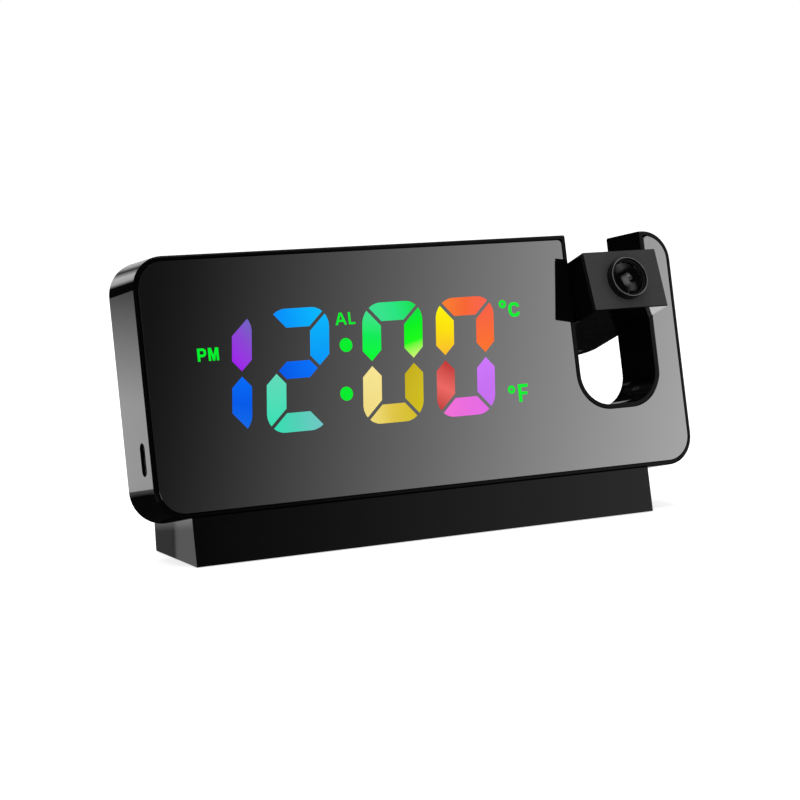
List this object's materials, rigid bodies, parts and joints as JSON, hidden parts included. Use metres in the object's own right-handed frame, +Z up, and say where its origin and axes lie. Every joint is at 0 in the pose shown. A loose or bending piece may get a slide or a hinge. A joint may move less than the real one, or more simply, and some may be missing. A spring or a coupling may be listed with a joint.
{
  "type": "projection alarm clock",
  "caption": "Leaning mirror-faced digital alarm clock on a long foot, with seven-segment digits and a swivelling projector box in a U-shaped notch.",
  "frame": {"origin": "middle of the whole clock's box, on the surface it stands on", "axes": "+X to the right along the face, +Y from the mirror face to the back, +Z up"},
  "size_m": [0.1862, 0.0586, 0.0886],
  "materials": {
    "case_black": "fine satin",
    "half_mirror": "polished, smoked",
    "inner_black": "matt",
    "milky_diffuser": "milky, translucent",
    "circuit_board": "solder mask",
    "component_black": "moulded epoxy",
    "light_yellow": "gloss",
    "steel": "bright zinc",
    "acetal": "natural acetal",
    "key_black": "satin",
    "pad_rubber": "matt",
    "ring_black": "gloss",
    "clear_lens": "polished",
    "slide_glass": "polished",
    "speaker_grey": "matt"
  },
  "bodies": {
    "clock": {"case_housing": "case_black", "mirror_panel": "half_mirror", "light_mask": "inner_black", "hour_tens_digit": "milky_diffuser", "hour_units_digit": "milky_diffuser", "minute_tens_digit": "milky_diffuser", "minute_units_digit": "milky_diffuser", "colon_diffusers": "milky_diffuser", "mark_diffusers": "milky_diffuser", "display_board": "circuit_board", "display_leds": "light_yellow", "control_chips": "component_black", "temperature_sensor": "component_black", "board_link": "component_black", "usb_c_socket": "steel", "hinge_block": "inner_black", "hinge_bush": "acetal", "back_cover": "case_black", "back_cover_screws": "steel", "key_board": "circuit_board", "key_board_screws": "steel", "key_switches": "component_black", "snooze_switch": "component_black", "cell_holder": "component_black", "coin_cell": "steel", "speaker": "speaker_grey", "foot_screws": "steel", "foot": "case_black", "foot_plate": "case_black", "foot_plate_screws": "steel", "rubber_pads": "pad_rubber"},
    "projector": {"projector_housing": "case_black", "projector_cover": "case_black", "projector_cover_screws": "steel", "left_hinge_pin": "steel", "right_hinge_pin": "steel", "spring_washer": "steel", "hinge_pin_clip": "steel", "optics_carrier": "inner_black", "picture_slide": "slide_glass", "condenser_lens": "clear_lens", "lamp_board": "circuit_board", "projector_lamp": "clear_lens"},
    "focus_ring": {"focus_ring": "ring_black"},
    "lens_cell": {"lens_cell": "inner_black", "objective_lens": "clear_lens"},
    "set_button": {"set_button": "key_black"},
    "up_button": {"up_button": "key_black"},
    "down_button": {"down_button": "key_black"},
    "alarm_button": {"alarm_button": "key_black"},
    "projector_button": {"projector_button": "key_black"},
    "snooze_button": {"snooze_button": "key_black"},
    "cell_door": {"cell_door": "case_black"}
  },
  "joints": [
    {"name": "projector_tilt", "type": "hinge", "parent": "clock", "child": "projector", "pos_m": [0.06745, -0.00479, 0.06945], "axis": [-1, 0, 0], "range_deg": [-11.2, 168.8]},
    {"name": "focus_travel", "type": "slide", "parent": "projector", "child": "lens_cell", "axis": [0, -0.9291, 0.3697], "range_m": [-0.0024, 0.0006]},
    {"name": "focus_turn", "type": "hinge", "parent": "projector", "child": "focus_ring", "pos_m": [0.06745, -0.02433, 0.07443], "axis": [0, -0.9291, 0.3697], "range_deg": [-60.5, 240.5]},
    {"name": "set_button_push", "type": "slide", "parent": "clock", "child": "set_button", "axis": [0, -0.9833, 0.1822], "range_m": [0, 0.0005], "stiffness_N_per_m": 800, "springref_m": -0.0005},
    {"name": "up_button_push", "type": "slide", "parent": "clock", "child": "up_button", "axis": [0, -0.9833, 0.1822], "range_m": [0, 0.0005], "stiffness_N_per_m": 800, "springref_m": -0.0005},
    {"name": "down_button_push", "type": "slide", "parent": "clock", "child": "down_button", "axis": [0, -0.9833, 0.1822], "range_m": [0, 0.0005], "stiffness_N_per_m": 800, "springref_m": -0.0005},
    {"name": "alarm_button_push", "type": "slide", "parent": "clock", "child": "alarm_button", "axis": [0, -0.9833, 0.1822], "range_m": [0, 0.0005], "stiffness_N_per_m": 800, "springref_m": -0.0005},
    {"name": "projector_button_push", "type": "slide", "parent": "clock", "child": "projector_button", "axis": [0, -0.9833, 0.1822], "range_m": [0, 0.0005], "stiffness_N_per_m": 800, "springref_m": -0.0005},
    {"name": "snooze_push", "type": "slide", "parent": "clock", "child": "snooze_button", "axis": [0, -0.1822, -0.9833], "range_m": [0, 0.0006], "stiffness_N_per_m": 900, "springref_m": -0.0006},
    {"name": "cell_door_turn", "type": "hinge", "parent": "clock", "child": "cell_door", "pos_m": [0.02, 0.0046, 0.06659], "axis": [0, -0.9833, 0.1822], "range_deg": [0, 60]}
  ],
  "couplings": [
    {"joint": "focus_turn", "follows": "focus_travel", "rad_per_m": -1745.3}
  ]
}
